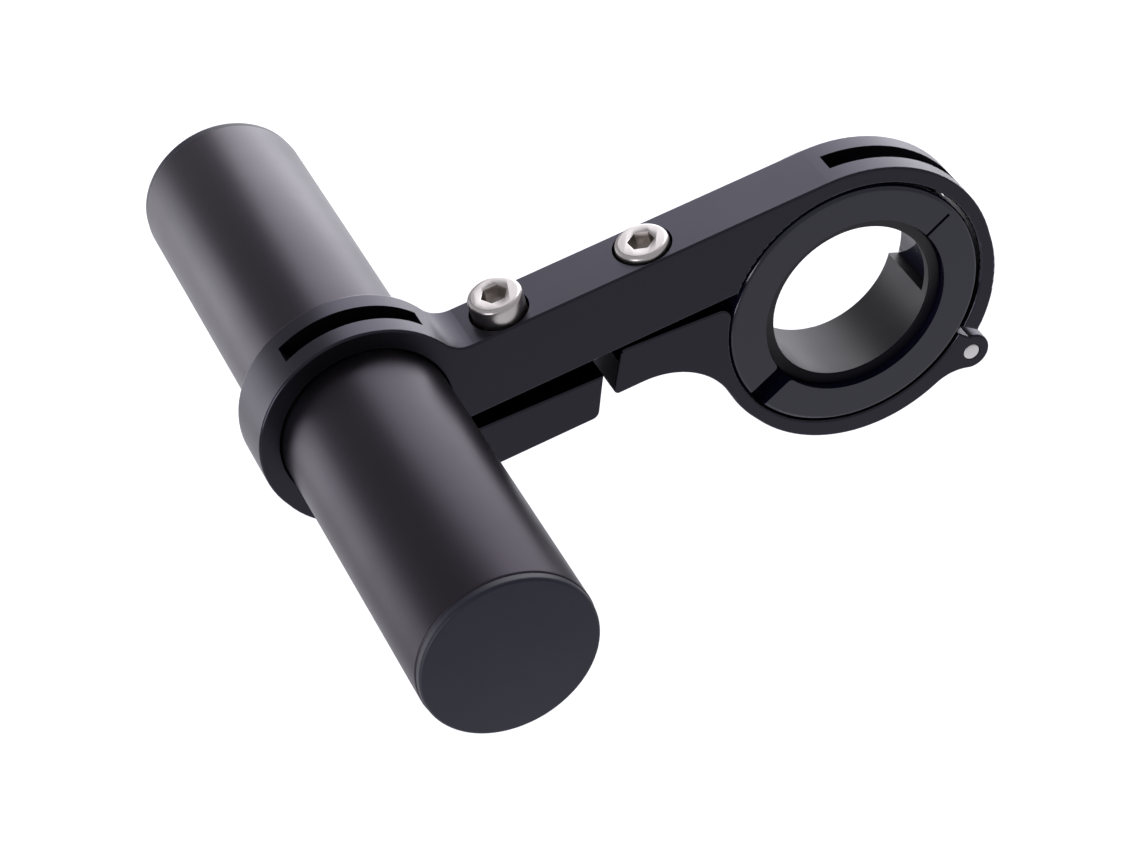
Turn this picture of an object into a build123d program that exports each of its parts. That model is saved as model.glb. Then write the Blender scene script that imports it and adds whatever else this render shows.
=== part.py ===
"""Handlebar extender: hinged handlebar clamp, machined arm and an accessory tube.

Millimetres, +Z up. The origin is the middle of the handlebar clamp, on the handlebar's
axis, which runs along Y. The arm lies in the XZ plane, towards -X and a little up.
"""

import os
from math import acos, atan2, cos, degrees, radians, sin

from build123d import *

# Accessory tube, parallel to the handlebar
tube_outer_d = 22.2
tube_wall = 1.5
tube_length = 100.3
tube_edge = 0.3
tube_z = 15.8
tube_slid_y = 0.85

# Tube end caps: a flange outside the tube and a hollow plug inside it
cap_flange = 1.1
cap_edge = 0.4
cap_inset = 0.15
plug_length = 7.0
plug_wall = 1.4
plug_play = 0.05

# Arm: split ring, bar and upper half of the handlebar clamp
arm_width = 8.3
arm_edge = 0.3
ring_wall = 2.85
ring_play = 0.04
bar_rise = 0.7
bar_under_z = 10.15
bar_fillet = 4.0

# Slit of the split ring and the lug under it
slit_width = 2.15
slit_spread = 0.9
lug_reach = 9.75
lug_slant = 2.35
lug_corner = 1.2
lug_drop = 0.65

# Handlebar clamp: place of its ring, bore, wall and the split between arm and jaw.
# The screw is slack, so the ring hangs a hair off the bush that it holds.
clamp_x = 0.15
clamp_z = 0.12
clamp_play = 0.3
clamp_wall = 2.05
crown_x = -0.2
crown_z = 0.3
jaw_inset = 0.15
bulge_shift = 1.2
bulge_angle = -72.0
bulge_inset = 0.45
split_play = 0.35
split_spread = 1.05
split_gap = 2.8
jaw_lug_left = 7.15
jaw_lug_right = 6.45
jaw_lug_under_z = 3.4
jaw_lug_slant = 2.6
jaw_lug_corner = 0.6
jaw_top_corner = 0.8
jaw_throat_corner = 1.5
jaw_fillet = 11.0

# Relief slots cut through the tops of both rings
slot_width = 2.9
ring_slot_from = 39.0
ring_slot_to = 117.0
clamp_slot_from = 29.0
clamp_slot_to = 86.5

# Hinge: a fork on the jaw, a tongue on the arm and a pin through both
hinge_angle = -48.9
hinge_out = 1.65
arm_end_reach = 3.29
jaw_end_reach = 1.93
knuckle_r = 2.6
knuckle_fillet = 6.0
pin_d = 2.4
pin_play = 0.05
tongue_width = 2.8
fork_play = 0.1
knuckle_play = 0.35
knuckle_corner_turn = 8.0
tongue_root_turn = 1.0
fork_floor_turn = 2.0

# Socket cap screws and their holes
screw_d = 3.9
head_d = 7.0
head_height = 4.0
head_edge = 0.6
socket_flats = 3.0
socket_depth = 2.0
socket_edge = 0.3
screw_tip = 0.4
counterbore_d = 7.7
counterbore_depth = 3.8
clearance_hole_d = 4.6
thread_play = 0.05
tube_bolt_beside = 6.7
tube_bolt_length = 16.0
tube_bolt_out = 2.5
jaw_bolt_beside = 4.15
jaw_bolt_length = 12.0
jaw_bolt_out = 0.6

# Reducer bush and liner in the clamp
bush_wall = 4.95
bush_length = 12.0
bush_edge = 0.6
bush_gap = 3.1
bush_gap_angle = 205.5
bush_gap_corner = 0.6
crease_angle = 26.8
crease_width = 0.45
crease_depth = 3.9
liner_inner_d = 22.2
liner_wall = 1.57
liner_play = 0.03
liner_recess = 1.05
liner_length = 10.9
liner_rim = 1.4
liner_edge = 0.25
window_from = -25.0
window_to = 30.0

# Worked out from the dimensions above
tube_r = tube_outer_d / 2
tube_bore_r = tube_r - tube_wall
ring_bore_r = tube_r + ring_play
ring_outer_r = tube_r + ring_wall
liner_outer_r = liner_inner_d / 2 + liner_wall
bush_inner_r = liner_outer_r + liner_play
bush_outer_r = bush_inner_r + bush_wall
clamp_bore_r = bush_outer_r + clamp_play
clamp_outer_r = clamp_bore_r + clamp_wall
bar_top_z = clamp_outer_r + bar_rise
hinge_radius = clamp_outer_r + hinge_out
arm_end_angle = hinge_angle + degrees(arm_end_reach / hinge_radius)
jaw_end_angle = hinge_angle + degrees(jaw_end_reach / hinge_radius)
# from the clamp ring towards -X: jaw screw, split, tube screw, tube
jaw_bolt_x = -(clamp_outer_r + jaw_bolt_beside)
jaw_lug_left_x = jaw_bolt_x - jaw_lug_left
jaw_lug_right_x = jaw_bolt_x + jaw_lug_right
lug_right_x = jaw_lug_left_x - split_gap
tube_bolt_x = lug_right_x - lug_reach
tube_x = tube_bolt_x - ring_outer_r - tube_bolt_beside
tube_centre = (tube_x, tube_z)
clamp_centre = (clamp_x, clamp_z)
ring_bottom_z = tube_z - ring_outer_r - lug_drop
slit_bottom_z = bar_under_z - slit_width
split_x = (lug_right_x + jaw_lug_left_x) / 2
fork_width = tongue_width + 2 * fork_play
pin_r = pin_d / 2
screw_r = screw_d / 2
thread_r = screw_r + thread_play
far = tube_length


def polar(radius, angle):
    """A point of the side view, given from the clamp ring's axis."""
    return (clamp_x + radius * cos(radians(angle)), clamp_z + radius * sin(radians(angle)))


def corner(builder, point):
    """The sketch corner nearest to a point of the side view."""
    return builder.vertices().sort_by_distance((point[0], point[1], 0))[0]


def round_sides(builder, size):
    """Round every edge of the two flat faces of a piece cut from plate."""
    for end in (0, -1):
        face = builder.faces().filter_by(Axis.Y).sort_by(Axis.Y)[end]
        fillet(face.edges(), size)


def cut_wedge(radius, start, stop):
    """A wedge from the current place outwards, between two angles."""
    angles = (start, (start + stop) / 2, stop)
    rim = [(radius * cos(radians(angle)), radius * sin(radians(angle))) for angle in angles]
    Polygon((0, 0), *rim, align=None)


hinge_centre = polar(hinge_radius, hinge_angle)
bulge_centre = polar(bulge_shift, bulge_angle)

# The arm's half of the clamp ring is turned a little off the bore's axis.
# The bar's top starts over the tube and meets it as a tangent.
crown_centre = (clamp_x + crown_x, clamp_z + crown_z)
bar_start = (tube_x, bar_top_z)
start_x = tube_x - crown_centre[0]
start_z = bar_top_z - crown_centre[1]
start_reach = (start_x**2 + start_z**2) ** 0.5
tangent_angle = degrees(atan2(start_z, start_x) - acos(clamp_outer_r / start_reach))
bar_tangent = (
    crown_centre[0] + clamp_outer_r * cos(radians(tangent_angle)),
    crown_centre[1] + clamp_outer_r * sin(radians(tangent_angle)),
)
bar_slope = (bar_tangent[1] - bar_top_z) / (bar_tangent[0] - tube_x)


def bar_top_at(x):
    """Height of the bar's top over a place along it."""
    return bar_top_z + bar_slope * (x - tube_x)


# Arm
with BuildPart() as arm:
    with BuildSketch(Plane.XZ) as arm_side:
        with Locations(crown_centre):
            Circle(clamp_outer_r)
        Polygon(bar_start, bar_tangent, (clamp_x, bar_under_z), (tube_x, bar_under_z), align=None)
        with Locations(tube_centre):
            Circle(ring_outer_r)
        # both rings are thicker below
        with Locations((tube_x, ring_bottom_z + ring_outer_r - bulge_inset)):
            Circle(ring_outer_r - bulge_inset)
        with Locations(bulge_centre):
            Circle(clamp_outer_r - bulge_inset)
        fillet(corner(arm_side, (tube_x + ring_outer_r, bar_top_z)), bar_fillet)
        # lower lug of the split ring, its end cut at a slant
        Polygon(
            (tube_x, ring_bottom_z),
            (tube_x, slit_bottom_z),
            (lug_right_x, slit_bottom_z),
            (lug_right_x - lug_slant, ring_bottom_z),
            align=None,
        )
        fillet(corner(arm_side, (lug_right_x - lug_slant, ring_bottom_z)), lug_corner)
        with Locations(clamp_centre):
            Circle(clamp_bore_r, mode=Mode.SUBTRACT)
        with Locations(tube_centre):
            Circle(ring_bore_r, mode=Mode.SUBTRACT)
        # slit, a little wider at its open end
        Polygon(
            (tube_x, bar_under_z),
            (split_x, bar_under_z),
            (split_x, slit_bottom_z - slit_spread),
            (tube_x + ring_bore_r, slit_bottom_z),
            (tube_x, slit_bottom_z),
            align=None,
            mode=Mode.SUBTRACT,
        )
        # what lies below the split belongs to the jaw
        Polygon(
            (split_x, bar_under_z),
            (clamp_x - clamp_bore_r / 2, bar_under_z),
            clamp_centre,
            polar(far, arm_end_angle),
            (far, -far),
            (split_x, -far),
            align=None,
            mode=Mode.SUBTRACT,
        )
    extrude(amount=arm_width / 2, both=True)
    round_sides(arm, arm_edge)
    # relief slots in the tops of the two rings
    with BuildSketch(Plane.XZ):
        with Locations(tube_centre):
            cut_wedge(far, ring_slot_from, ring_slot_to)
        with Locations(clamp_centre):
            cut_wedge(far, clamp_slot_from, clamp_slot_to)
    extrude(amount=slot_width / 2, both=True, mode=Mode.SUBTRACT)
    # hinge tongue: the ring runs on at its middle and ends in a knuckle round the pin
    with BuildSketch(Plane.XZ):
        with Locations(clamp_centre):
            cut_wedge(far, arm_end_angle + tongue_root_turn, hinge_angle)
            Circle(clamp_outer_r, mode=Mode.INTERSECT)
            Circle(clamp_bore_r, mode=Mode.SUBTRACT)
        with Locations(hinge_centre):
            Circle(knuckle_r)
            Circle(pin_r + pin_play, mode=Mode.SUBTRACT)
    extrude(amount=tongue_width / 2, both=True)
    # counterbored screw holes through the bar and the thread in the lower lug
    for bolt_x in (tube_bolt_x, jaw_bolt_x):
        with BuildSketch(Plane.XY.offset(bar_top_at(bolt_x) - counterbore_depth)):
            with Locations((bolt_x, 0)):
                Circle(counterbore_d / 2)
        extrude(amount=2 * counterbore_depth, mode=Mode.SUBTRACT)
        with BuildSketch(Plane.XY.offset(bar_under_z - slit_width / 2)):
            with Locations((bolt_x, 0)):
                Circle(clearance_hole_d / 2)
        extrude(until=Until.LAST, mode=Mode.SUBTRACT)
    with BuildSketch(Plane.XY.offset(ring_bottom_z - lug_corner)):
        with Locations((tube_bolt_x, 0)):
            Circle(thread_r)
    extrude(amount=bar_under_z - ring_bottom_z, mode=Mode.SUBTRACT)

# Jaw: the top of its lug slopes away from the bar towards the bore
jaw_top_left = (jaw_lug_left_x, bar_under_z - split_play)
jaw_top_right = (jaw_lug_right_x, bar_under_z - split_play - split_spread)
jaw_slope = (jaw_top_right[1] - jaw_top_left[1]) / (jaw_lug_right_x - jaw_lug_left_x)


def jaw_top_at(x):
    """Height of the jaw's split face at a place along it."""
    return jaw_top_left[1] + jaw_slope * (x - jaw_lug_left_x)


with BuildPart() as jaw:
    with BuildSketch(Plane.XZ) as jaw_side:
        with Locations(clamp_centre):
            Circle(clamp_outer_r - jaw_inset)
        with Locations(bulge_centre):
            Circle(clamp_outer_r - bulge_inset)
        Polygon(
            (-far, jaw_top_at(-far)),
            (clamp_x, jaw_top_at(clamp_x)),
            clamp_centre,
            polar(far, jaw_end_angle),
            (far, far),
            (-far, far),
            align=None,
            mode=Mode.SUBTRACT,
        )
        Polygon(
            jaw_top_left,
            (clamp_wall - clamp_bore_r, jaw_top_at(clamp_wall - clamp_bore_r)),
            (clamp_wall - clamp_bore_r, jaw_lug_under_z),
            (jaw_lug_left_x - jaw_lug_slant, jaw_lug_under_z),
            align=None,
        )
        with Locations(hinge_centre):
            Circle(knuckle_r)
        ring_under_lug = (-((clamp_outer_r**2 - jaw_lug_under_z**2) ** 0.5), jaw_lug_under_z)
        fillet(corner(jaw_side, ring_under_lug), jaw_fillet)
        fillet(corner(jaw_side, (jaw_lug_left_x - jaw_lug_slant, jaw_lug_under_z)), jaw_lug_corner)
        fillet(corner(jaw_side, jaw_top_left), jaw_top_corner)
        fillet(corner(jaw_side, polar(clamp_outer_r, hinge_angle - knuckle_corner_turn)), knuckle_fillet)
        with Locations(clamp_centre):
            Circle(clamp_bore_r, mode=Mode.SUBTRACT)
        throat = (-((clamp_bore_r**2 - bar_under_z**2) ** 0.5), jaw_top_right[1])
        fillet(corner(jaw_side, throat), jaw_throat_corner)
    extrude(amount=arm_width / 2, both=True)
    round_sides(jaw, arm_edge)
    # fork: room for the tongue between the two ears
    with BuildSketch(Plane.XZ):
        with Locations(clamp_centre):
            cut_wedge(far, 0, hinge_angle - fork_floor_turn)
        with Locations(hinge_centre):
            Circle(knuckle_r + knuckle_play)
    extrude(amount=fork_width / 2, both=True, mode=Mode.SUBTRACT)
    with BuildSketch(Plane.XZ):
        with Locations(hinge_centre):
            Circle(pin_r)
    extrude(amount=arm_width, both=True, mode=Mode.SUBTRACT)
    with BuildSketch(Plane.XY.offset(-jaw_lug_under_z)):
        with Locations((jaw_bolt_x, 0)):
            Circle(thread_r)
    extrude(amount=bar_under_z + jaw_lug_under_z, mode=Mode.SUBTRACT)

# Hinge pin, pressed into the jaw's ears
with BuildPart() as hinge_pin:
    with BuildSketch(Plane.XZ):
        with Locations(hinge_centre):
            Circle(pin_r)
    extrude(amount=arm_width / 2, both=True)

# Accessory tube
tube_middle = Plane(origin=(tube_x, tube_slid_y, tube_z), z_dir=(0, -1, 0))
with BuildPart() as extension_tube:
    with BuildSketch(tube_middle):
        Circle(tube_r)
        Circle(tube_bore_r, mode=Mode.SUBTRACT)
    extrude(amount=tube_length / 2, both=True)
    outer_rims = extension_tube.edges().filter_by(GeomType.CIRCLE).sort_by(SortBy.RADIUS)[-2:]
    chamfer(outer_rims, tube_edge)


def make_end_cap(side):
    """Plug for one end of the tube: -1 the near end, +1 the far end."""
    tube_end = Plane(
        origin=(tube_x, tube_slid_y + side * tube_length / 2, tube_z),
        z_dir=(0, side, 0),
    )
    with BuildPart() as cap:
        with BuildSketch(tube_end):
            Circle(tube_r - cap_inset)
        extrude(amount=cap_flange)
        rim = cap.edges().sort_by(Axis.Y)[-1 if side > 0 else 0]
        fillet(rim, cap_edge)
        with BuildSketch(tube_end):
            Circle(tube_bore_r - plug_play)
            Circle(tube_bore_r - plug_play - plug_wall, mode=Mode.SUBTRACT)
        extrude(amount=-plug_length)
    return cap


front_end_cap = make_end_cap(-1)
rear_end_cap = make_end_cap(1)


def make_screw(x, head_under_z, length):
    """Socket cap screw that points down, given by the underside of its head."""
    with BuildPart() as screw:
        with BuildSketch(Plane.XY.offset(head_under_z)):
            with Locations((x, 0)):
                Circle(head_d / 2)
        extrude(amount=head_height)
        fillet(screw.edges().sort_by(Axis.Z)[-1], head_edge)
        with BuildSketch(Plane.XY.offset(head_under_z + head_height)):
            with Locations((x, 0)):
                RegularPolygon(socket_flats / 2, 6, major_radius=False)
        extrude(amount=-socket_depth, mode=Mode.SUBTRACT)
        socket_rim = screw.faces().sort_by(Axis.Z)[-1].inner_wires()[0]
        chamfer(socket_rim.edges(), socket_edge)
        with BuildSketch(Plane.XY.offset(head_under_z)):
            with Locations((x, 0)):
                Circle(screw_r)
        extrude(amount=-length)
        chamfer(screw.edges().sort_by(Axis.Z)[0], screw_tip)
    return screw


tube_bolt_seat = bar_top_at(tube_bolt_x) - counterbore_depth
jaw_bolt_seat = bar_top_at(jaw_bolt_x) - counterbore_depth
tube_clamp_bolt = make_screw(tube_bolt_x, tube_bolt_seat + tube_bolt_out, tube_bolt_length)
jaw_bolt = make_screw(jaw_bolt_x, jaw_bolt_seat + jaw_bolt_out, jaw_bolt_length)

# Reducer bush: an open ring whose front is level with the arm's
front = Plane.XZ.offset(arm_width / 2)
with BuildPart() as reducer_bush:
    with BuildSketch(front) as bush_face:
        Circle(bush_outer_r)
        Circle(bush_inner_r, mode=Mode.SUBTRACT)
        with Locations(Rotation(0, 0, bush_gap_angle)):
            Rectangle(far, bush_gap, align=(Align.MIN, Align.CENTER), mode=Mode.SUBTRACT)
        gap_corners = bush_face.vertices().group_by(SortBy.DISTANCE)[0]
        fillet(gap_corners, bush_gap_corner)
    extrude(amount=-bush_length)
    for end in (0, -1):
        face = reducer_bush.faces().filter_by(Axis.Y).sort_by(Axis.Y)[end]
        rims = face.edges().filter_by(GeomType.CIRCLE).sort_by(SortBy.RADIUS)
        fillet(rims[-1], bush_edge)
    # crease opposite the gap, where the bush bends as it is opened
    with BuildSketch(front):
        with Locations(Rotation(0, 0, crease_angle)):
            Rectangle(bush_inner_r + crease_depth, crease_width, align=(Align.MIN, Align.CENTER))
    extrude(amount=-bush_length, mode=Mode.SUBTRACT)

# Liner: a closed rim at the front, and behind it a wall with a window
with BuildPart() as liner:
    with BuildSketch(front.offset(-liner_recess)):
        Circle(liner_outer_r)
        Circle(liner_inner_d / 2, mode=Mode.SUBTRACT)
    extrude(amount=-liner_length)
    round_sides(liner, liner_edge)
    with BuildSketch(front.offset(-liner_recess - liner_rim)):
        cut_wedge(far, window_from, window_to)
    extrude(amount=-liner_length, mode=Mode.SUBTRACT)

# One STEP file for each piece
pieces = {
    "arm": arm,
    "jaw": jaw,
    "hinge_pin": hinge_pin,
    "extension_tube": extension_tube,
    "front_end_cap": front_end_cap,
    "rear_end_cap": rear_end_cap,
    "tube_clamp_bolt": tube_clamp_bolt,
    "jaw_bolt": jaw_bolt,
    "reducer_bush": reducer_bush,
    "liner": liner,
}
os.makedirs("parts", exist_ok=True)
for name, piece in pieces.items():
    piece.part.label = name
    export_step(piece.part, f"parts/{name}.step")
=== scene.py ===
"""Handlebar extender: finishes, screws, tube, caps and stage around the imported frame.

Laid out as a Blender add-on and run as a script. Every length is in metres, in the
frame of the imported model: origin on the handlebar's axis, +Y along the tube, +Z up.
"""

import math

import bpy
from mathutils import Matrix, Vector


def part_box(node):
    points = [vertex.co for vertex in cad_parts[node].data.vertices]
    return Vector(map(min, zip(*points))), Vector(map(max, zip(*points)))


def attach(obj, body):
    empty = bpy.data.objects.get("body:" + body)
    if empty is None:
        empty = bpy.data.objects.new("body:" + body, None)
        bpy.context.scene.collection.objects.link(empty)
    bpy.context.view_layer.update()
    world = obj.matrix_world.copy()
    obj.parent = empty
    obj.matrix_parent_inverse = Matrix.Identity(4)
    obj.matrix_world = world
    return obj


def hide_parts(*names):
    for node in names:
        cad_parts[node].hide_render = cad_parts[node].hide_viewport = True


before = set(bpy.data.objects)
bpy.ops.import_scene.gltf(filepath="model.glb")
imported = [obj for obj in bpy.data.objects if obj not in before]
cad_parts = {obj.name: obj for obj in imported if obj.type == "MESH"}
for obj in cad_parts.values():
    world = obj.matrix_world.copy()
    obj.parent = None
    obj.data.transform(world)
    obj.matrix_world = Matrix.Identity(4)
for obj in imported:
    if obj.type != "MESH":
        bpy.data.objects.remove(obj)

bl_info = {
    "name": "Handlebar extender",
    "version": (1, 0, 0),
    "blender": (4, 5, 0),
    "location": "3D View > Sidebar > Extender",
    "description": "Models and finishes a handlebar extender on its packed frame",
    "category": "Object",
}

MM = 0.001
# how far a point may lie off a plane, or off a round rim, and still count as on it
NEAR = 0.01 * MM
NEAR_RIM = 0.1 * MM


def linear(hex_colour):
    """Turn an sRGB hex value such as 2b2b30 into linear red, green and blue."""
    parts = [int(hex_colour[i : i + 2], 16) / 255 for i in (0, 2, 4)]
    return tuple(p / 12.92 if p <= 0.04045 else ((p + 0.055) / 1.055) ** 2.4 for p in parts)


def middle(node):
    """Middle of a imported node's box."""
    low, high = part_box(node)
    return (low + high) / 2


def extent(node, axis):
    """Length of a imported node's box along one axis."""
    low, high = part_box(node)
    return high[axis] - low[axis]


# ---- Sizes and colours that a user would change


class ExtenderSizes(bpy.types.PropertyGroup):
    """Sizes of the pieces that are modelled here; the rest comes from the frame"""

    tube_wall: bpy.props.FloatProperty(
        name="Tube wall",
        description="Wall of the accessory tube",
        default=1.5 * MM,
        unit="LENGTH",
    )
    tube_edge: bpy.props.FloatProperty(
        name="Tube edge",
        description="Break of the tube's sharp outer ends",
        default=0.3 * MM,
        unit="LENGTH",
    )
    cap_flange: bpy.props.FloatProperty(
        name="Cap flange",
        description="Thickness of the disc that shows at each end of the tube",
        default=1.1 * MM,
        unit="LENGTH",
    )
    cap_edge: bpy.props.FloatProperty(
        name="Cap edge",
        description="Rounding of the disc's outer edge",
        default=0.4 * MM,
        unit="LENGTH",
    )
    plug_wall: bpy.props.FloatProperty(
        name="Plug wall",
        description="Wall of a cap's hollow plug",
        default=1.4 * MM,
        unit="LENGTH",
    )
    plug_play: bpy.props.FloatProperty(
        name="Plug play",
        description="Gap between a cap's plug and the tube's bore",
        default=0.05 * MM,
        unit="LENGTH",
    )
    screw_pitch: bpy.props.FloatProperty(
        name="Thread pitch",
        description="Pitch of the coarse M4 thread",
        default=0.7 * MM,
        unit="LENGTH",
    )
    head_height: bpy.props.FloatProperty(
        name="Head height",
        description="Height of a screw's head, a hair short so that it never cuts its seat",
        default=3.97 * MM,
        unit="LENGTH",
    )
    head_edge: bpy.props.FloatProperty(
        name="Head edge",
        description="Rounding of a screw head's top edge",
        default=0.6 * MM,
        unit="LENGTH",
    )
    head_foot: bpy.props.FloatProperty(
        name="Head foot",
        description="Break of a screw head's lower edge",
        default=0.2 * MM,
        unit="LENGTH",
    )
    socket_flats: bpy.props.FloatProperty(
        name="Socket",
        description="Hexagon socket across its flats",
        default=3.0 * MM,
        unit="LENGTH",
    )
    socket_depth: bpy.props.FloatProperty(
        name="Socket depth",
        description="Depth of the hexagon socket's walls",
        default=2.0 * MM,
        unit="LENGTH",
    )
    socket_edge: bpy.props.FloatProperty(
        name="Socket edge",
        description="Break of the hexagon socket's rim",
        default=0.15 * MM,
        unit="LENGTH",
    )
    drill_tip: bpy.props.FloatProperty(
        name="Drill tip",
        description="Depth of the cone that the drill leaves under the hexagon",
        default=0.45 * MM,
        unit="LENGTH",
    )
    shank: bpy.props.FloatProperty(
        name="Shank",
        description="Outside diameter of the screw thread",
        default=3.9 * MM,
        unit="LENGTH",
    )
    pin_edge: bpy.props.FloatProperty(
        name="Pin edge",
        description="Crowning of the hinge pin's two ends",
        default=0.25 * MM,
        unit="LENGTH",
    )


class ExtenderColours(bpy.types.PropertyGroup):
    """Colours of the finishes"""

    anodising: bpy.props.FloatVectorProperty(
        name="Anodising",
        description="Black dye in the oxide of the arm and the jaw",
        default=linear("2f2e34"),
        subtype="COLOR",
        size=3,
        min=0,
        max=1,
    )
    tube: bpy.props.FloatVectorProperty(
        name="Tube anodising",
        description="Black dye in the oxide of the accessory tube",
        default=linear("322f34"),
        subtype="COLOR",
        size=3,
        min=0,
        max=1,
    )
    cap: bpy.props.FloatVectorProperty(
        name="Caps",
        description="Plastic of the two end caps",
        default=linear("05041a"),
        subtype="COLOR",
        size=3,
        min=0,
        max=1,
    )
    bush: bpy.props.FloatVectorProperty(
        name="Bush",
        description="Nylon of the reducer bush",
        default=linear("0c0b1c"),
        subtype="COLOR",
        size=3,
        min=0,
        max=1,
    )
    liner: bpy.props.FloatVectorProperty(
        name="Liner",
        description="Silicone of the liner",
        default=linear("08070d"),
        subtype="COLOR",
        size=3,
        min=0,
        max=1,
    )
    steel: bpy.props.FloatVectorProperty(
        name="Steel",
        description="Stainless steel of the screws",
        default=linear("b7b2ae"),
        subtype="COLOR",
        size=3,
        min=0,
        max=1,
    )
    pin: bpy.props.FloatVectorProperty(
        name="Pin",
        description="Bright steel of the hinge pin",
        default=linear("cccac8"),
        subtype="COLOR",
        size=3,
        min=0,
        max=1,
    )
    floor: bpy.props.FloatVectorProperty(
        name="Floor",
        description="Paper under the extender",
        default=linear("eeeeee"),
        subtype="COLOR",
        size=3,
        min=0,
        max=1,
    )


# ---- Small helpers for modelling by hand in code


def start_clean():
    """Leave edit mode and deselect everything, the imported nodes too."""
    if bpy.context.object and bpy.context.object.mode != "OBJECT":
        bpy.ops.object.mode_set(mode="OBJECT")
    bpy.ops.object.select_all(action="DESELECT")


def pick(piece, parts, test):
    """In edit mode, select only the faces, edges or vertices that pass the test."""
    bpy.ops.object.mode_set(mode="OBJECT")
    mesh = piece.data
    for group in (mesh.vertices, mesh.edges, mesh.polygons):
        group.foreach_set("select", [False] * len(group))
    found = 0
    for item in getattr(mesh, parts):
        if parts == "edges":
            chosen = test(*[mesh.vertices[i].co for i in item.vertices])
        elif parts == "polygons":
            chosen = test(item.center, item.normal)
        else:
            chosen = test(item.co)
        item.select = bool(chosen)
        found += bool(chosen)
    if not found:
        raise RuntimeError(f"{piece.name}: nothing to select")
    bpy.ops.object.mode_set(mode="EDIT")
    bpy.ops.mesh.select_mode(type={"edges": "EDGE", "polygons": "FACE"}.get(parts, "VERT"))


def settle(piece, name, angle=30):
    """Name a piece, put its place into its mesh and shade it smooth between sharp edges."""
    start_clean()
    piece.select_set(True)
    bpy.context.view_layer.objects.active = piece
    bpy.ops.object.transform_apply(location=True, rotation=True, scale=True)
    bpy.ops.object.shade_smooth_by_angle(angle=math.radians(angle))
    piece.name = name
    piece.data.name = name
    piece.select_set(False)


def add_node(tree, kind, inputs=(), **settings):
    """Add a node, give it its settings, and set or link its inputs."""
    node = tree.nodes.new(kind)
    for name, value in settings.items():
        setattr(node, name, value)
    for name, value in dict(inputs).items():
        if isinstance(value, bpy.types.NodeSocket):
            tree.links.new(value, node.inputs[name])
        else:
            node.inputs[name].default_value = value
    return node


def empty_material(name):
    """A new material with no nodes."""
    material = bpy.data.materials.new(name)
    material.use_nodes = True
    material.node_tree.nodes.clear()
    return material


def dress(target, material):
    """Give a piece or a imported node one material."""
    target.data.materials.clear()
    target.data.materials.append(material)


# ---- Finishes

# painted shade for a saw cut's faces with a dimmer reflection there, and painted shade for a
# screw's thread
CUT_SHADE = (*linear("0d0d10"), 1)
CUT_SHADE_TINT = (*linear("595959"), 1)
THREAD_SHADE = (*linear("272729"), 1)


def place_and_facing(tree):
    """The place and the facing direction of a surface, each split into X, Y and Z."""
    source = add_node(tree, "ShaderNodeTexCoord")
    return [
        add_node(tree, "ShaderNodeSeparateXYZ", {"Vector": source.outputs[name]}).outputs
        for name in ("Object", "Normal")
    ]


def region(tree, *limits):
    """A mask that is 1 where every value lies between its two limits, and 0 elsewhere."""
    mask = 1
    for value, low, high in limits:
        inside = add_node(
            tree,
            "ShaderNodeMath",
            {0: value, 1: (low + high) / 2, 2: (high - low) / 2},
            operation="COMPARE",
        )
        both = add_node(
            tree, "ShaderNodeMath", {0: mask, 1: inside.outputs["Value"]}, operation="MULTIPLY"
        )
        mask = both.outputs["Value"]
    return mask


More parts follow.
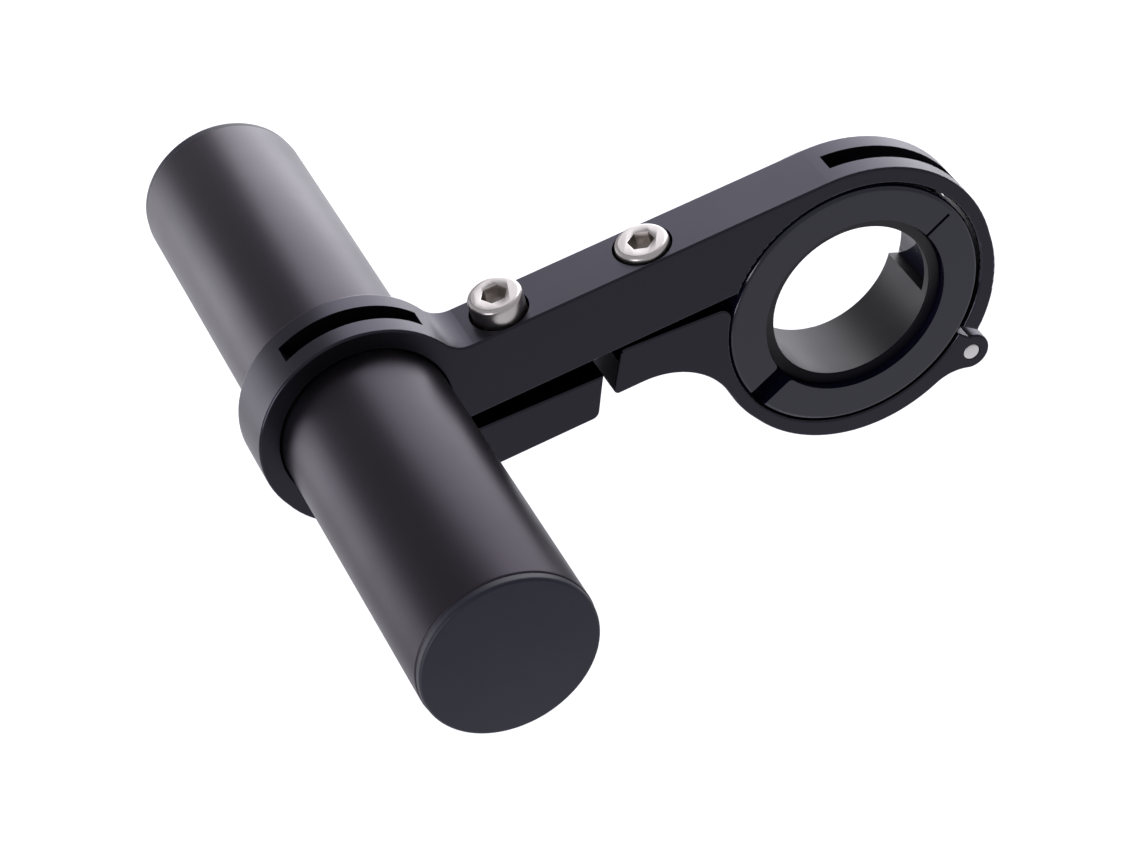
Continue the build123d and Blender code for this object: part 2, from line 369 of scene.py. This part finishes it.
def black_anodised_aluminium(name, colour, stretch, cuts=()):
    """Aluminium, etched matt and dyed black in its oxide film.

    The etch leaves a soft grain that spreads each highlight into a wide satin band.
    Tumbling burnishes the broken edges, so they catch thin bright lines. The faces inside a saw
    cut are painted dark, a painted shade with a dimmer reflection. Each cut gives its limits along
    X and along Z, and how dark its painted shade is from 0 to 1.
    """
    material = empty_material(name)
    tree = material.node_tree
    place = add_node(tree, "ShaderNodeTexCoord").outputs["Object"]
    along = add_node(tree, "ShaderNodeMapping", {"Vector": place, "Scale": stretch})
    # etch pits are about 0.05 mm and too fine to show, so they are drawn at 0.3 mm
    pit, cloud = 0.3 * MM, 9 * MM
    grain = add_node(
        tree,
        "ShaderNodeTexNoise",
        {"Vector": along.outputs["Vector"], "Scale": 1 / pit, "Detail": 3.0},
    )
    clouds = add_node(
        tree, "ShaderNodeTexNoise", {"Vector": place, "Scale": 1 / cloud, "Detail": 2.0}
    )
    rough = add_node(
        tree,
        "ShaderNodeMapRange",
        {"Value": clouds.outputs["Fac"], "To Min": 0.34, "To Max": 0.42},
    )
    bump = add_node(
        tree,
        "ShaderNodeBump",
        {"Height": grain.outputs["Fac"], "Strength": 0.12, "Distance": 0.02 * MM},
    )
    shader = add_node(
        tree,
        "ShaderNodeBsdfPrincipled",
        {
            "Base Color": (*colour, 1),
            "Metallic": 1.0,
            "Roughness": rough.outputs["Result"],
            "Normal": bump.outputs["Normal"],
        },
    )
    if cuts:
        spot, facing = place_and_facing(tree)
        slant = add_node(tree, "ShaderNodeMath", {0: facing["Y"]}, operation="ABSOLUTE")
        # a broken edge faces neither straight along the tube nor straight across it
        edge = region(tree, (slant.outputs["Value"], 0.15, 0.96))
        burnished = add_node(
            tree,
            "ShaderNodeMath",
            {0: edge, 1: -0.24, 2: rough.outputs["Result"]},
            operation="MULTIPLY_ADD",
        )
        tree.links.new(burnished.outputs["Value"], shader.inputs["Roughness"])
        across = (facing["Y"], -0.4, 0.4)
        dark = 0
        for (left, right), (low, high), shade in cuts:
            cut = region(tree, (spot["X"], left, right), (spot["Z"], low, high), across)
            deep = add_node(tree, "ShaderNodeMath", {0: cut, 1: shade}, operation="MULTIPLY")
            darkest = add_node(
                tree, "ShaderNodeMath", {0: deep.outputs["Value"], 1: dark}, operation="MAXIMUM"
            )
            dark = darkest.outputs["Value"]
        # painted shade: inside the cuts the base colour darkens and the reflection dims
        for socket, plain, shaded in (
            ("Base Color", (*colour, 1), CUT_SHADE),
            ("Specular Tint", (1, 1, 1, 1), CUT_SHADE_TINT),
        ):
            mix = add_node(tree, "ShaderNodeMix", {0: dark, 6: plain, 7: shaded}, data_type="RGBA")
            tree.links.new(mix.outputs[2], shader.inputs[socket])
    add_node(tree, "ShaderNodeOutputMaterial", {"Surface": shader.outputs["BSDF"]})
    return material


def moulded_plastic(name, colour, ior, roughness, grain_mm, shade=None):
    """Black plastic, injection moulded in a spark-eroded tool.

    The tool's fine pitting breaks up the reflection, so the face looks matt and even.
    In a recess, shade gives the heights between which its front rim goes from unshaded
    to dark: a painted shade, drawn as a weaker reflection.
    """
    material = empty_material(name)
    tree = material.node_tree
    place = add_node(tree, "ShaderNodeTexCoord").outputs["Object"]
    # the tool's pits are about 0.03 mm, and grain_mm is the coarser size that shows
    pit, cloud = grain_mm * MM, 6 * MM
    pits = add_node(
        tree, "ShaderNodeTexNoise", {"Vector": place, "Scale": 1 / pit, "Detail": 2.0}
    )
    clouds = add_node(
        tree, "ShaderNodeTexNoise", {"Vector": place, "Scale": 1 / cloud, "Detail": 2.0}
    )
    rough = add_node(
        tree,
        "ShaderNodeMapRange",
        {
            "Value": clouds.outputs["Fac"],
            "To Min": roughness - 0.05,
            "To Max": roughness + 0.05,
        },
    )
    bump = add_node(
        tree,
        "ShaderNodeBump",
        {"Height": pits.outputs["Fac"], "Strength": 0.2, "Distance": 0.02 * MM},
    )
    shader = add_node(
        tree,
        "ShaderNodeBsdfPrincipled",
        {
            "Base Color": (*colour, 1),
            "IOR": ior,
            "Roughness": rough.outputs["Result"],
            "Normal": bump.outputs["Normal"],
        },
    )
    # painted shade: the front rim's reflection weakens towards the bottom
    if shade:
        spot, facing = place_and_facing(tree)
        rim = region(tree, (facing["Y"], -1.1, -0.12))
        unshaded_height, dark = shade
        lower = add_node(
            tree,
            "ShaderNodeMapRange",
            {"Value": spot["Z"], "From Min": unshaded_height, "From Max": dark},
        )
        rim_shade = add_node(
            tree, "ShaderNodeMath", {0: rim, 1: lower.outputs["Result"]}, operation="MULTIPLY"
        )
        # 0.5 is the specular level of an unshaded surface, and the painted shade lowers it to 0.1
        level = add_node(
            tree,
            "ShaderNodeMath",
            {0: rim_shade.outputs["Value"], 1: -0.4, 2: 0.5},
            operation="MULTIPLY_ADD",
        )
        tree.links.new(level.outputs["Value"], shader.inputs["Specular IOR Level"])
    add_node(tree, "ShaderNodeOutputMaterial", {"Surface": shader.outputs["BSDF"]})
    return material


def turned_stainless_steel(name, colour, centre, head=None):
    """Stainless steel, cold formed, its faces turned and then tumbled bright.

    Faint rings round the axis pull the highlight across the head's top. The flat top
    is painted darker than the rounded edges, a painted shade, and the thread is
    painted dark, a painted shade. The two heights of head are those of its underside and top.
    """
    material = empty_material(name)
    tree = material.node_tree
    place = add_node(tree, "ShaderNodeTexCoord").outputs["Object"]
    centred = add_node(tree, "ShaderNodeMapping", {"Vector": place, "Location": -centre})
    # the tool's feed is about 0.05 mm, drawn at 1.57 mm so that it shows as soft rings;
    # a wave runs through 20 radians for each unit of its scale
    feed, stain = 1.57 * MM, 1.2 * MM
    rings = add_node(
        tree,
        "ShaderNodeTexWave",
        {
            "Vector": centred.outputs["Vector"],
            "Scale": 2 * math.pi / (20 * feed),
            "Distortion": 0.6,
        },
        wave_type="RINGS",
        rings_direction="Z",
    )
    stains = add_node(
        tree, "ShaderNodeTexNoise", {"Vector": place, "Scale": 1 / stain, "Detail": 3.0}
    )
    rough = add_node(
        tree,
        "ShaderNodeMapRange",
        {"Value": stains.outputs["Fac"], "To Min": 0.24, "To Max": 0.36},
    )
    bump = add_node(
        tree,
        "ShaderNodeBump",
        {"Height": rings.outputs["Fac"], "Strength": 0.06, "Distance": 0.01 * MM},
    )
    shader = add_node(
        tree,
        "ShaderNodeBsdfPrincipled",
        {
            "Base Color": (*colour, 1),
            "Metallic": 1.0,
            "Roughness": rough.outputs["Result"],
            "Normal": bump.outputs["Normal"],
        },
    )
    if head:
        under, top = head
        spot, facing = place_and_facing(tree)
        # how far a point may lie off the head's top and still count as on it
        near = 0.05 * MM
        flat_top = region(tree, (facing["Z"], 0.97, 1.03), (spot["Z"], top - near, top + near))
        # painted shade: the flat top takes a darker copy of the steel's colour
        turned = (*[0.52 * part for part in colour], 1)
        steel = add_node(
            tree, "ShaderNodeMix", {0: flat_top, 6: (*colour, 1), 7: turned}, data_type="RGBA"
        )
        # painted shade: below the head's underside the thread is painted dark
        thread = add_node(
            tree, "ShaderNodeMath", {0: spot["Z"], 1: under - near}, operation="LESS_THAN"
        )
        whole = add_node(
            tree,
            "ShaderNodeMix",
            {0: thread.outputs["Value"], 6: steel.outputs[2], 7: THREAD_SHADE},
            data_type="RGBA",
        )
        tree.links.new(whole.outputs[2], shader.inputs["Base Color"])
    add_node(tree, "ShaderNodeOutputMaterial", {"Surface": shader.outputs["BSDF"]})
    return material


# ---- Pieces


class EXTENDER_OT_arm(bpy.types.Operator):
    """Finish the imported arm, jaw, bush and liner"""

    bl_idname = "extender.arm"
    bl_label = "Arm, jaw, bush and liner"

    def execute(self, context):
        colours = context.scene.extender_colours
        # the saw cuts: the slit over the lower lug, the jaw's cut end and the split over it, each
        # with the darkness of its painted shade
        slit = ((-66 * MM, -33.5 * MM), (6.9 * MM, 10.25 * MM), 0.85)
        jaw_end = ((-34.4 * MM, -30.9 * MM), (3.2 * MM, 9.3 * MM), 0.5)
        split = ((-34.4 * MM, -12 * MM), (8.1 * MM, 10.2 * MM), 0.93)
        plate, jaw = (
            black_anodised_aluminium(name, colours.anodising, (1, 1, 1), cuts)
            for name, cuts in (
                ("Black anodised arm", [slit]),
                ("Black anodised jaw", [jaw_end, split]),
            )
        )
        bush = moulded_plastic(
            "Moulded nylon bush", colours.bush, ior=1.47, roughness=0.08, grain_mm=0.25
        )
        liner = moulded_plastic(
            "Moulded silicone liner",
            colours.liner,
            ior=1.41,
            roughness=0.5,
            grain_mm=0.3,
            # painted shade on the front rim, darkening from 4 mm down to -6 mm
            shade=(4 * MM, -6 * MM),
        )
        for node, finish in (
            ("arm", plate),
            ("jaw", jaw),
            ("reducer_bush", bush),
            ("liner", liner),
        ):
            dress(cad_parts[node], finish)
        return {"FINISHED"}


class EXTENDER_OT_tube(bpy.types.Operator):
    """Model the accessory tube: bore it and break its edges"""

    bl_idname = "extender.tube"
    bl_label = "Accessory tube"

    def execute(self, context):
        sizes = context.scene.extender_sizes
        node = "extension_tube"
        centre = middle(node)
        radius = extent(node, 0) / 2
        length = extent(node, 1)
        start_clean()
        bpy.ops.mesh.primitive_cylinder_add(
            vertices=160,
            radius=radius,
            depth=length,
            end_fill_type="NOTHING",
            rotation=(math.radians(90), 0, 0),
            location=centre,
        )
        tube = context.object
        bpy.ops.object.transform_apply(location=True, rotation=True, scale=True)
        wall = tube.modifiers.new("wall", "SOLIDIFY")
        wall.thickness = sizes.tube_wall
        wall.offset = -1
        wall.use_even_offset = True
        bpy.ops.object.modifier_apply(modifier=wall.name)
        pick(
            tube,
            "edges",
            lambda a, b: abs(a.y - b.y) < NEAR
            and min(Vector((v.x - centre.x, v.z - centre.z)).length for v in (a, b))
            > radius - NEAR_RIM,
        )
        bpy.ops.mesh.bevel(offset=sizes.tube_edge, segments=3)
        bpy.ops.mesh.select_all(action="SELECT")
        bpy.ops.mesh.normals_make_consistent(inside=False)
        settle(tube, "accessory_tube")
        # the tube is drawn, so its grain is drawn out along Y
        finish = black_anodised_aluminium(
            "Black anodised tube", context.scene.extender_colours.tube, (1, 0.04, 1)
        )
        dress(tube, finish)
        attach(tube, "accessory_tube")
        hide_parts(node)
        return {"FINISHED"}


class EXTENDER_OT_caps(bpy.types.Operator):
    """Model one end cap with its hollow plug, and turn a copy round for the far end"""

    bl_idname = "extender.caps"
    bl_label = "End caps"

    def execute(self, context):
        sizes = context.scene.extender_sizes
        low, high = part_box("front_end_cap")
        centre = middle("front_end_cap")
        radius = (high.x - low.x) / 2
        plug_radius = extent("extension_tube", 0) / 2 - sizes.tube_wall - sizes.plug_play
        plug_length = high.y - low.y - sizes.cap_flange
        start_clean()
        bpy.ops.mesh.primitive_cylinder_add(
            vertices=160,
            radius=radius,
            depth=sizes.cap_flange,
            rotation=(math.radians(90), 0, 0),
            location=(centre.x, low.y + sizes.cap_flange / 2, centre.z),
        )
        cap = context.object
        bpy.ops.object.transform_apply(location=True, rotation=True, scale=True)
        # the plug behind the flange, hollowed from its open end
        pick(cap, "polygons", lambda co, normal: normal.y > 0.9)
        bpy.ops.mesh.inset(thickness=radius - plug_radius)
        bpy.ops.mesh.extrude_region_move(
            TRANSFORM_OT_translate={"value": (0, plug_length, 0)}
        )
        bpy.ops.mesh.inset(thickness=sizes.plug_wall)
        bpy.ops.mesh.extrude_region_move(
            TRANSFORM_OT_translate={"value": (0, -plug_length, 0)}
        )
        pick(
            cap,
            "edges",
            lambda a, b: max(a.y, b.y) < low.y + NEAR
            and Vector((a.x - centre.x, a.z - centre.z)).length > radius - NEAR_RIM,
        )
        bpy.ops.mesh.bevel(offset=sizes.cap_edge, segments=5)
        settle(cap, "front_cap")
        finish = moulded_plastic(
            "Moulded polyethylene cap",
            context.scene.extender_colours.cap,
            ior=1.43,
            roughness=0.5,
            grain_mm=0.3,
        )
        dress(cap, finish)
        start_clean()
        cap.select_set(True)
        context.view_layer.objects.active = cap
        bpy.ops.object.duplicate()
        rear = context.object
        bpy.ops.object.mode_set(mode="EDIT")
        bpy.ops.mesh.select_all(action="SELECT")
        halfway = middle("extension_tube")
        bpy.ops.transform.rotate(
            value=math.radians(180),
            orient_axis="Z",
            center_override=(halfway.x, halfway.y, centre.z),
        )
        settle(rear, "rear_cap")
        for piece, node in ((cap, "front_end_cap"), (rear, "rear_end_cap")):
            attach(piece, "accessory_tube")
            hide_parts(node)
        return {"FINISHED"}


class EXTENDER_OT_screws(bpy.types.Operator):
    """Model the two socket cap screws with their threads, and the hinge pin"""

    bl_idname = "extender.screws"
    bl_label = "Screws and hinge pin"

    def head(self, context, node, turn):
        """A screw's head: rounded top edge, hexagon socket with a drilled bottom."""
        sizes = context.scene.extender_sizes
        low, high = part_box(node)
        centre = middle(node)
        # a hexagon's corners lie further out than its flats
        corner = sizes.socket_flats / math.sqrt(3)
        start_clean()
        bpy.ops.mesh.primitive_cylinder_add(
            vertices=96,
            radius=(high.x - low.x) / 2,
            depth=sizes.head_height,
            location=(centre.x, centre.y, high.z - sizes.head_height / 2),
        )
        head = context.object
        bpy.ops.object.transform_apply(location=True, rotation=True, scale=True)
        pick(head, "edges", lambda a, b: min(a.z, b.z) > high.z - NEAR)
        bpy.ops.mesh.bevel(offset=sizes.head_edge, segments=7)
        pick(head, "edges", lambda a, b: max(a.z, b.z) < high.z - sizes.head_height + NEAR)
        bpy.ops.mesh.bevel(offset=sizes.head_foot, segments=2)
        bpy.ops.object.mode_set(mode="OBJECT")
        # the socket is cut with a hexagon bar, then its rim is broken
        bpy.ops.object.select_all(action="DESELECT")
        bpy.ops.mesh.primitive_cylinder_add(
            vertices=6,
            radius=corner,
            depth=2 * sizes.socket_depth,
            location=(centre.x, centre.y, high.z),
            rotation=(0, 0, math.radians(turn)),
        )
        bar = context.object
        bpy.ops.object.transform_apply(location=True, rotation=True, scale=True)
        # a drill leaves a cone under the hexagon, a little inside its flats
        inside_flats = 0.25 * MM
        pick(bar, "polygons", lambda co, normal: normal.z < -0.9)
        bpy.ops.mesh.inset(thickness=inside_flats)
        bpy.ops.mesh.extrude_region_move(
            TRANSFORM_OT_translate={"value": (0, 0, -sizes.drill_tip)},
        )
        bpy.ops.transform.resize(value=(0.1, 0.1, 1))
        bpy.ops.object.mode_set(mode="OBJECT")
        bpy.ops.object.select_all(action="DESELECT")
        head.select_set(True)
        context.view_layer.objects.active = head
        cut = head.modifiers.new("socket", "BOOLEAN")
        cut.operation = "DIFFERENCE"
        cut.solver = "EXACT"
        cut.object = bar
        bpy.ops.object.modifier_apply(modifier=cut.name)
        bpy.data.objects.remove(bar)
        pick(
            head,
            "edges",
            lambda a, b: min(a.z, b.z) > high.z - NEAR
            and max(Vector((v.x - centre.x, v.y - centre.y)).length for v in (a, b))
            < corner + NEAR_RIM / 2,
        )
        bpy.ops.mesh.bevel(offset=sizes.socket_edge, segments=2)
        bpy.ops.object.mode_set(mode="OBJECT")
        return head

    def thread(self, context, node):
        """A screw's thread: one turned tooth repeated down the shank by a screw modifier."""
        sizes = context.scene.extender_sizes
        low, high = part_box(node)
        centre = middle(node)
        pitch = sizes.screw_pitch
        top = high.z - sizes.head_height
        # the tooth's section: along the root, up a flank, along the crest and back down
        crest = sizes.shank / 2
        root = crest - 0.55 * pitch
        root_to, crest_from, crest_to = 0.12 * pitch, 0.46 * pitch, 0.62 * pitch
        outline = [(root, 0), (root, root_to), (crest, crest_from), (crest, crest_to)]
        start_clean()
        bpy.ops.mesh.primitive_circle_add(vertices=4, radius=crest, location=(0, 0, 0))
        tooth = context.object
        for vertex, (x, z) in zip(tooth.data.vertices, outline):
            vertex.co = (x, 0, z)
        # the circle's closing edge would fold the tooth flat
        pick(tooth, "edges", lambda a, b: abs(a.z - b.z) > pitch / 2)
        bpy.ops.mesh.delete(type="EDGE")
        pick(tooth, "vertices", lambda co: co.z > (crest_from + crest_to) / 2)
        bpy.ops.mesh.extrude_vertices_move(
            TRANSFORM_OT_translate={"value": (root - crest, 0, pitch - crest_to)}
        )
        bpy.ops.object.mode_set(mode="OBJECT")
        # two turns to spare, because both ends are cut off square
        turns = math.ceil((top - low.z) / pitch) + 2
        wind = tooth.modifiers.new("wind", "SCREW")
        wind.axis = "Z"
        wind.screw_offset = pitch
        wind.iterations = turns
        wind.steps = 32
        wind.render_steps = 32
        wind.use_merge_vertices = True
        wind.merge_threshold = NEAR
        bpy.ops.object.modifier_apply(modifier=wind.name)
        bpy.ops.object.mode_set(mode="EDIT")
        bpy.ops.mesh.select_all(action="SELECT")
        bpy.ops.mesh.remove_doubles(threshold=NEAR / 2)
        bpy.ops.transform.translate(value=(centre.x, centre.y, low.z - pitch))
        # the thread runs a little way up into the head, so that no gap shows
        in_head = 0.2 * MM
        for height, normal in ((low.z, (0, 0, 1)), (top + in_head, (0, 0, -1))):
            bpy.ops.mesh.select_all(action="SELECT")
            bpy.ops.mesh.bisect(
                plane_co=(centre.x, centre.y, height),
                plane_no=normal,
                use_fill=True,
                clear_inner=True,
            )
        bpy.ops.mesh.select_all(action="SELECT")
        bpy.ops.mesh.normals_make_consistent(inside=False)
        bpy.ops.object.mode_set(mode="OBJECT")
        return tooth

    def execute(self, context):
        steel = context.scene.extender_colours.steel
        # each hexagon stands as the screw was left when it was tightened
        for node, body, name, turn in (
            ("tube_clamp_bolt", "tube_screw", "tube_screw", 29),
            ("jaw_bolt", "jaw_screw", "jaw_screw", 6),
        ):
            head = self.head(context, node, turn)
            thread = self.thread(context, node)
            start_clean()
            thread.select_set(True)
            head.select_set(True)
            context.view_layer.objects.active = head
            bpy.ops.object.join()
            settle(head, name, 35)
            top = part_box(node)[1].z
            heights = (top - context.scene.extender_sizes.head_height, top)
            finish = turned_stainless_steel(f"Stainless {name}", steel, middle(node), heights)
            dress(head, finish)
            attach(head, body)
            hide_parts(node)
        self.pin(context)
        return {"FINISHED"}

    def pin(self, context):
        """The hinge pin, its two ends crowned."""
        node = "hinge_pin"
        centre = middle(node)
        start_clean()
        bpy.ops.mesh.primitive_cylinder_add(
            vertices=64,
            radius=extent(node, 0) / 2,
            depth=extent(node, 1),
            rotation=(math.radians(90), 0, 0),
            location=centre,
        )
        pin = context.object
        bpy.ops.object.transform_apply(location=True, rotation=True, scale=True)
        pick(pin, "edges", lambda a, b: abs(a.y - b.y) < NEAR)
        bpy.ops.mesh.bevel(offset=context.scene.extender_sizes.pin_edge, segments=4)
        settle(pin, "hinge_pin_steel")
        colour = context.scene.extender_colours.pin
        dress(pin, turned_stainless_steel("Stainless pin", colour, centre))
        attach(pin, "jaw")
        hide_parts(node)


class EXTENDER_OT_stage(bpy.types.Operator):
    """Build the pale floor, the soft lights and the camera of the photograph"""

    bl_idname = "extender.stage"
    bl_label = "Stage"

    def execute(self, context):
        colours = context.scene.extender_colours
        start_clean()
        # the paper lies far below, so that it shows no shadow
        bpy.ops.mesh.primitive_plane_add(size=12, location=(0, 0, -0.4))
        floor = context.object
        floor.name = "floor"
        paper = empty_material("White paper")
        tree = paper.node_tree
        shader = add_node(
            tree, "ShaderNodeBsdfPrincipled", {"Base Color": (*colours.floor, 1), "Roughness": 0.9}
        )
        add_node(tree, "ShaderNodeOutputMaterial", {"Surface": shader.outputs["BSDF"]})
        dress(floor, paper)
        world = bpy.data.worlds.new("Studio")
        world.use_nodes = True
        # the photograph's light has a faint lilac tint
        sky = world.node_tree.nodes["Background"].inputs
        sky["Color"].default_value = (0.97, 0.965, 1.03, 1)
        sky["Strength"].default_value = 0.6
        context.scene.world = world
        context.scene.view_settings.view_transform = "Standard"
        # each lamp points at the origin: place and size in metres, power in watts
        for name, place, size, power in (
            ("back right softbox", (0.64, 0.88, 0.37), (1.08, 1.5), 18.2),
            ("back left softbox", (-0.95, 0.95, -0.02), (0.8, 0.67), 5),
            ("front left softbox", (-0.85, -0.6, 0.16), (0.5, 0.6), 5),
        ):
            bpy.ops.object.light_add(type="AREA", location=place)
            lamp = context.object
            lamp.name = name
            lamp.data.shape = "RECTANGLE"
            lamp.data.size = size[0]
            lamp.data.size_y = size[1]
            lamp.data.energy = power
            lamp.data.color = (0.98, 0.97, 1.04)
            lamp.rotation_euler = Vector(place).to_track_quat("Z", "Y").to_euler()
        # place, turn and lens were fitted to the edges of the object in the photograph
        bpy.ops.object.camera_add(
            location=(-106.8 * MM, -311.48 * MM, 279.0 * MM),
            rotation=(math.radians(47.348), math.radians(12.544), math.radians(-23.494)),
        )
        camera = context.object
        camera.name = "photo camera"
        camera.data.sensor_width = 36
        camera.data.lens = 105.26
        camera.data.clip_start = 0.01
        camera.data.clip_end = 50
        context.scene.camera = camera
        start_clean()
        return {"FINISHED"}


class EXTENDER_PT_panel(bpy.types.Panel):
    """Lists the steps that build the extender"""

    bl_idname = "EXTENDER_PT_panel"
    bl_label = "Handlebar extender"
    bl_space_type = "VIEW_3D"
    bl_region_type = "UI"
    bl_category = "Extender"

    def draw(self, context):
        for step in STEPS:
            self.layout.operator(step.bl_idname)
        for group in (context.scene.extender_sizes, context.scene.extender_colours):
            for name in group.__annotations__:
                self.layout.prop(group, name)


STEPS = (
    EXTENDER_OT_arm,
    EXTENDER_OT_tube,
    EXTENDER_OT_caps,
    EXTENDER_OT_screws,
    EXTENDER_OT_stage,
)
CLASSES = (ExtenderSizes, ExtenderColours, *STEPS, EXTENDER_PT_panel)


def register():
    """Make the classes and the scene's settings known to Blender."""
    for cls in CLASSES:
        bpy.utils.register_class(cls)
    bpy.types.Scene.extender_sizes = bpy.props.PointerProperty(type=ExtenderSizes)
    bpy.types.Scene.extender_colours = bpy.props.PointerProperty(type=ExtenderColours)


def unregister():
    """Take back what register did."""
    del bpy.types.Scene.extender_colours
    del bpy.types.Scene.extender_sizes
    for cls in reversed(CLASSES):
        bpy.utils.unregister_class(cls)


def main():
    """Build every piece in order."""
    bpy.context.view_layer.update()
    register()
    bpy.ops.extender.arm()
    bpy.ops.extender.tube()
    bpy.ops.extender.caps()
    bpy.ops.extender.screws()
    bpy.ops.extender.stage()


if __name__ == "__main__":
    main()
